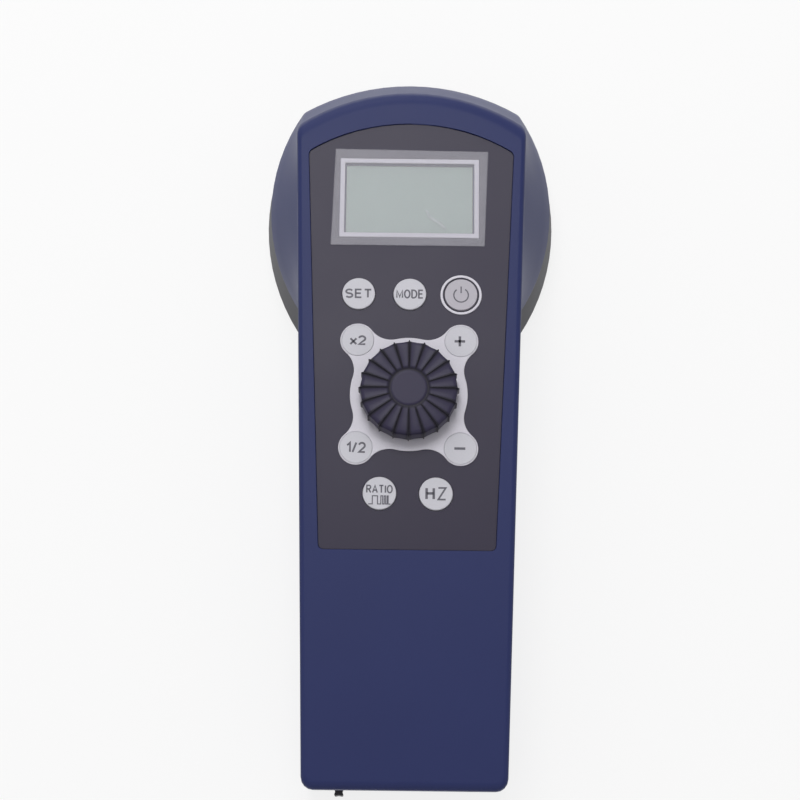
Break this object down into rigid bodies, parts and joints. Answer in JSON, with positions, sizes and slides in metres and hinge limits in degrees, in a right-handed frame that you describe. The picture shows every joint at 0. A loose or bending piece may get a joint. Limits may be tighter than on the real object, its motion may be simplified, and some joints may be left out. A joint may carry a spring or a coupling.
{
  "type": "handheld stroboscope tachometer",
  "caption": "Handheld stroboscope tachometer with a flared lamp head, a tapered handle, a display, round keys and a fluted dial.",
  "frame": {"origin": "middle of the bounding box at the level that the instrument lies on, with its back down", "axes": "+X across the handle, to the right of someone reading the panel with the lamp head away from them; +Y along the body towards the lamp head; +Z out of the key panel"},
  "size_m": [0.1024, 0.2568, 0.0529],
  "materials": {
    "case_plastic": "moulded, fine satin grain",
    "rim_plastic": "moulded, satin",
    "overlay": "printed film, fine satin grain",
    "white_trim": "satin",
    "key_plastic": "satin",
    "dial_plastic": "satin",
    "window": "clear acrylic",
    "film": "thin protective film",
    "display": "reflective liquid crystal display",
    "module": "moulded",
    "lens": "clear",
    "seal": "matte",
    "bright": "bright",
    "wire": "insulation",
    "board": "solder resist",
    "black_parts": "moulded",
    "windings": "taped winding",
    "can": "printed sleeve",
    "cell": "printed sleeve",
    "steel": "plated",
    "insert": "turned"
  },
  "bodies": {
    "housing": {"front_shell": "case_plastic", "rear_shell": "case_plastic", "panel_overlay": "overlay", "dial_surround": "white_trim", "power_ring": "white_trim", "display_frame": "white_trim", "display_window": "window", "display_glass": "display", "display_module": "module", "screen_film": "film", "lamp_rim": "rim_plastic", "lamp_lens": "lens", "lens_seal": "seal", "reflector": "bright", "tube_socket": "module", "flash_tube": "lens", "lamp_leads": "wire", "flash_board": "board", "flash_capacitor": "can", "step_up_transformer": "windings", "trigger_coil": "windings", "main_board": "board", "control_chip": "black_parts", "key_switches": "black_parts", "dial_encoder": "steel", "encoder_nut": "steel", "trigger_socket": "black_parts", "battery_tray": "black_parts", "battery_cells": "cell", "battery_contacts": "steel", "tripod_insert": "insert", "strap_lug": "black_parts", "case_screws": "steel", "rim_screws": "steel", "board_screws": "steel"},
    "cover": {"battery_cover": "case_plastic"},
    "dial": {"dial_knob": "dial_plastic", "dial_shaft": "steel"},
    "set_key": {"set_key": "key_plastic"},
    "mode_key": {"mode_key": "key_plastic"},
    "power_key": {"power_key": "key_plastic"},
    "double_key": {"double_key": "key_plastic"},
    "half_key": {"half_key": "key_plastic"},
    "plus_key": {"plus_key": "key_plastic"},
    "minus_key": {"minus_key": "key_plastic"},
    "ratio_key": {"ratio_key": "key_plastic"},
    "hertz_key": {"hertz_key": "key_plastic"}
  },
  "joints": [
    {"name": "dial_turn", "type": "hinge", "parent": "housing", "child": "dial", "pos_m": [0, 0.00305, 0.05], "axis": [0, 0, 1], "continuous": true},
    {"name": "cover_slide", "type": "slide", "parent": "housing", "child": "cover", "axis": [0, -1, 0], "range_m": [0, 0.06]},
    {"name": "set_key_press", "type": "slide", "parent": "housing", "child": "set_key", "axis": [0, 0, -1], "range_m": [0, 0.0004], "stiffness_N_per_m": 3000},
    {"name": "mode_key_press", "type": "slide", "parent": "housing", "child": "mode_key", "axis": [0, 0, -1], "range_m": [0, 0.0004], "stiffness_N_per_m": 3000},
    {"name": "power_key_press", "type": "slide", "parent": "housing", "child": "power_key", "axis": [0, 0, -1], "range_m": [0, 0.0004], "stiffness_N_per_m": 3000},
    {"name": "double_key_press", "type": "slide", "parent": "housing", "child": "double_key", "axis": [0, 0, -1], "range_m": [0, 0.0004], "stiffness_N_per_m": 3000},
    {"name": "half_key_press", "type": "slide", "parent": "housing", "child": "half_key", "axis": [0, 0, -1], "range_m": [0, 0.0004], "stiffness_N_per_m": 3000},
    {"name": "plus_key_press", "type": "slide", "parent": "housing", "child": "plus_key", "axis": [0, 0, -1], "range_m": [0, 0.0004], "stiffness_N_per_m": 3000},
    {"name": "minus_key_press", "type": "slide", "parent": "housing", "child": "minus_key", "axis": [0, 0, -1], "range_m": [0, 0.0004], "stiffness_N_per_m": 3000},
    {"name": "ratio_key_press", "type": "slide", "parent": "housing", "child": "ratio_key", "axis": [0, 0, -1], "range_m": [0, 0.0004], "stiffness_N_per_m": 3000},
    {"name": "hertz_key_press", "type": "slide", "parent": "housing", "child": "hertz_key", "axis": [0, 0, -1], "range_m": [0, 0.0004], "stiffness_N_per_m": 3000}
  ]
}
